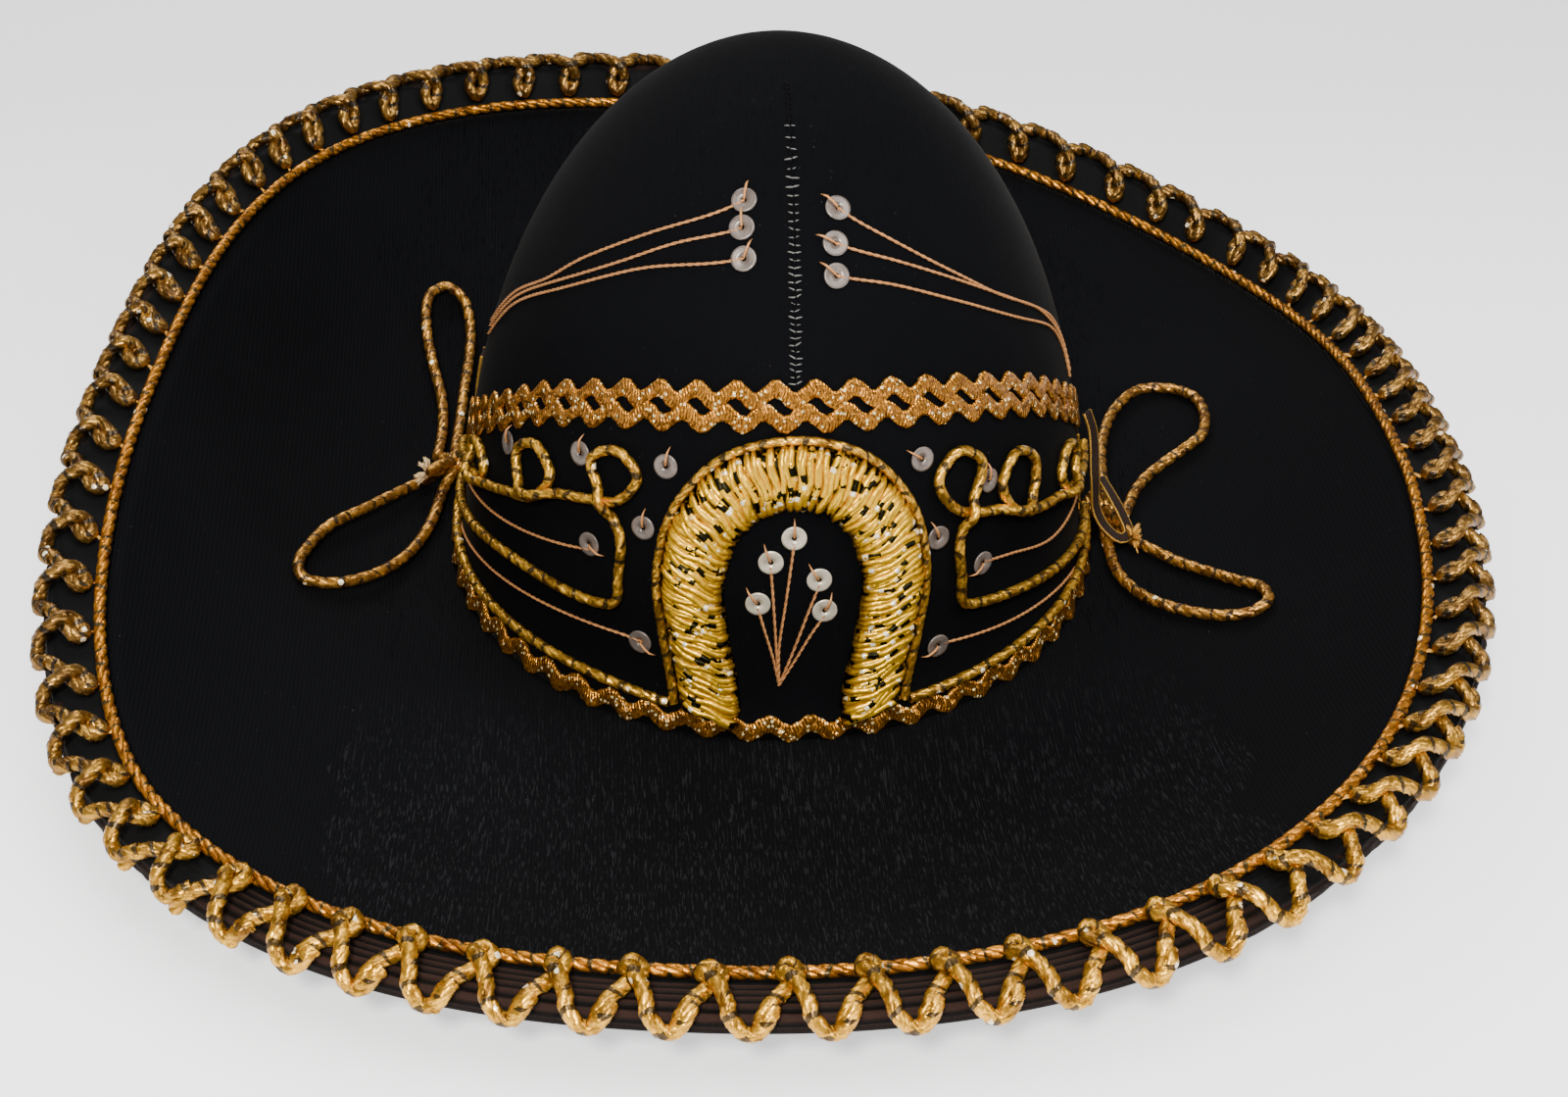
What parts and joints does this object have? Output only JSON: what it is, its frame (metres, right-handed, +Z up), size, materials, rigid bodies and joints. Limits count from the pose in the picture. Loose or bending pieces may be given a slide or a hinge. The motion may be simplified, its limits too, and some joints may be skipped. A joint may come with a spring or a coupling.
{
  "type": "charro sombrero",
  "caption": "Wide-brimmed charro sombrero with a tall domed crown, looped cord edging and an embroidered horseshoe panel.",
  "frame": {"origin": "on the floor under the middle of the hat's outline, level with the flat underside round the head opening", "axes": "+Z up out of the crown, the horseshoe on the crown faces -Y, +X is to the right when looking at the horseshoe"},
  "size_m": [0.4599, 0.5352, 0.179],
  "materials": {
    "velvet": "matte black velvet",
    "binding": "dark brown ribbed",
    "copper_cord": "twisted metallic thread",
    "gold_cord": "twisted metallic thread",
    "gold_thread": "metallic satin stitch",
    "rose_braid": "glittering metallic braid",
    "sequin": "pale translucent gloss",
    "ribbon": "dull grosgrain"
  },
  "bodies": {
    "root": {"base_braid": "rose_braid", "base_cord_left": "gold_cord", "base_cord_right": "gold_cord", "bow_loop_left_back": "gold_cord", "bow_loop_left_front": "gold_cord", "bow_loop_right_back": "gold_cord", "bow_loop_right_front": "gold_cord", "brim": "velvet", "crown": "velvet", "edge_binding": "binding", "edge_cord": "copper_cord", "horseshoe": "gold_thread", "horseshoe_cord": "gold_cord", "knot_left": "gold_cord", "knot_right": "gold_cord", "loop_trim": "gold_cord", "panel_braid_lower": "rose_braid", "panel_braid_upper": "rose_braid", "ribbon_left": "ribbon", "ribbon_right": "ribbon", "scroll_cord_left": "gold_cord", "scroll_cord_right": "gold_cord", "sequin_crown_left_1": "sequin", "sequin_crown_left_2": "sequin", "sequin_crown_left_3": "sequin", "sequin_crown_right_1": "sequin", "sequin_crown_right_2": "sequin", "sequin_crown_right_3": "sequin", "sequin_left_1": "sequin", "sequin_left_2": "sequin", "sequin_left_3": "sequin", "sequin_left_4": "sequin", "sequin_left_5": "sequin", "sequin_left_6": "sequin", "sequin_right_1": "sequin", "sequin_right_2": "sequin", "sequin_right_3": "sequin", "sequin_right_4": "sequin", "sequin_right_5": "sequin", "sequin_shoe_1": "sequin", "sequin_shoe_2": "sequin", "sequin_shoe_3": "sequin", "sequin_shoe_4": "sequin", "sequin_shoe_5": "sequin"}
  },
  "joints": []
}
